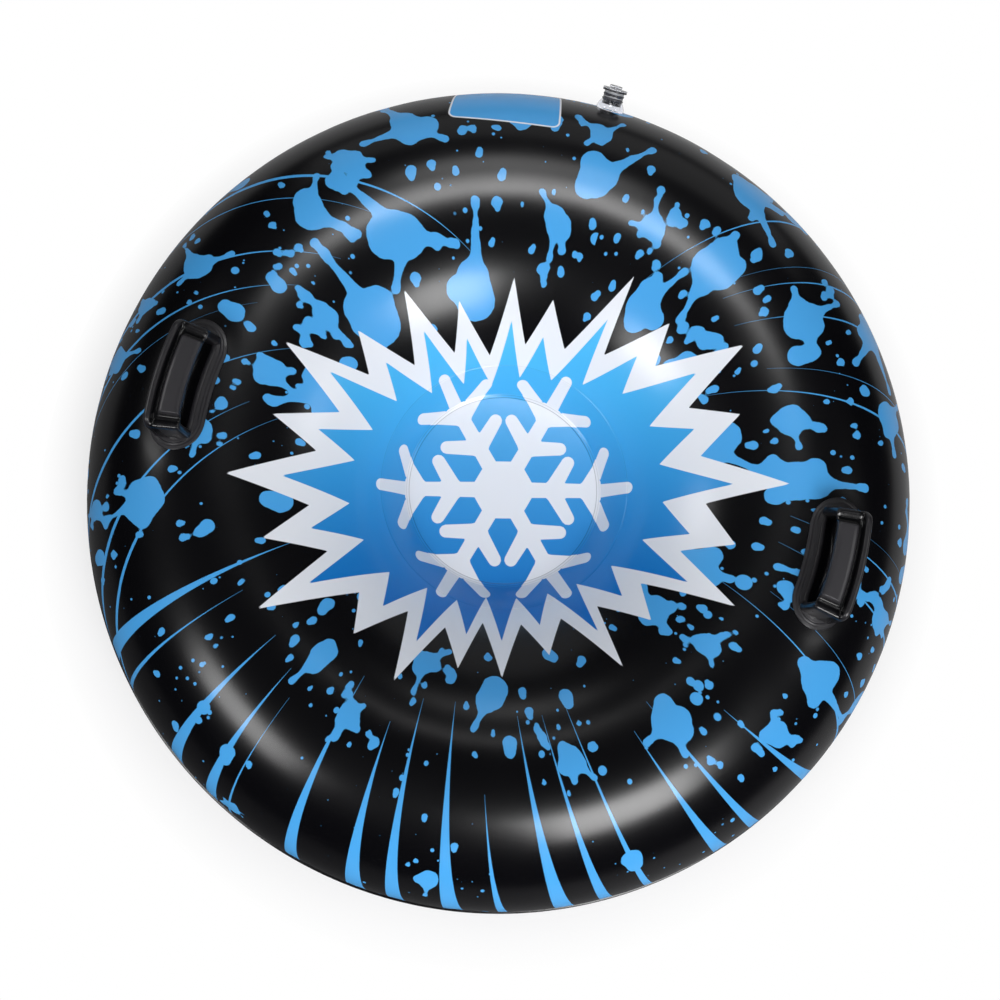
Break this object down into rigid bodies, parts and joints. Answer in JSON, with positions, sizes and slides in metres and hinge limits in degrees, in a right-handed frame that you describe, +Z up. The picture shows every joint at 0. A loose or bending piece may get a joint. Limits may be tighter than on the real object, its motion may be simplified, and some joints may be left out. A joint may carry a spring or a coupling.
{
  "type": "snow tube",
  "caption": "Inflatable ring sled of welded sheets with a closed seat floor in the middle, a raised grab handle on each side and a push-in air valve with a captive plug.",
  "frame": {"origin": "bottom centre: on the ground plane, under the middle of the ring", "axes": "+Z up, +X through the middle of the right handle, +Y towards the valve"},
  "size_m": [0.96, 0.9693, 0.309],
  "materials": {
    "printed_sheet": "satin PVC sheet, black with a blue and white print",
    "plain_sheet": "satin black PVC sheet",
    "black_moulding": "glossy black soft PVC moulding",
    "clear_moulding": "clear soft PVC moulding"
  },
  "bodies": {
    "tube": {"top_sheet": "printed_sheet", "bottom_sheet": "plain_sheet", "seat_doubler": "plain_sheet", "left_handle_base": "black_moulding", "left_handle_grip": "black_moulding", "right_handle_base": "black_moulding", "right_handle_grip": "black_moulding", "valve_flange": "clear_moulding", "valve_skirt": "clear_moulding"},
    "valve_neck": {"valve_neck": "clear_moulding", "valve_strap": "clear_moulding"},
    "valve_flap": {"valve_flap": "clear_moulding"},
    "valve_plug": {"valve_plug": "clear_moulding"}
  },
  "joints": [
    {"name": "valve_push_in", "type": "slide", "parent": "tube", "child": "valve_neck", "axis": [0, 0.8653, 0.5013], "range_m": [-0.019, 0], "deforming": ["valve_skirt"]},
    {"name": "valve_flap_hinge", "type": "hinge", "parent": "valve_neck", "child": "valve_flap", "pos_m": [0, 0.46162, 0.21101], "axis": [1, 0, 0], "range_deg": [-70, 0], "stiffness_Nm_per_rad": 0.0005, "springref_deg": 5.73},
    {"name": "valve_plug_pull", "type": "slide", "parent": "valve_neck", "child": "valve_plug", "axis": [0, 0.8653, 0.5013], "range_m": [0, 0.014]}
  ]
}
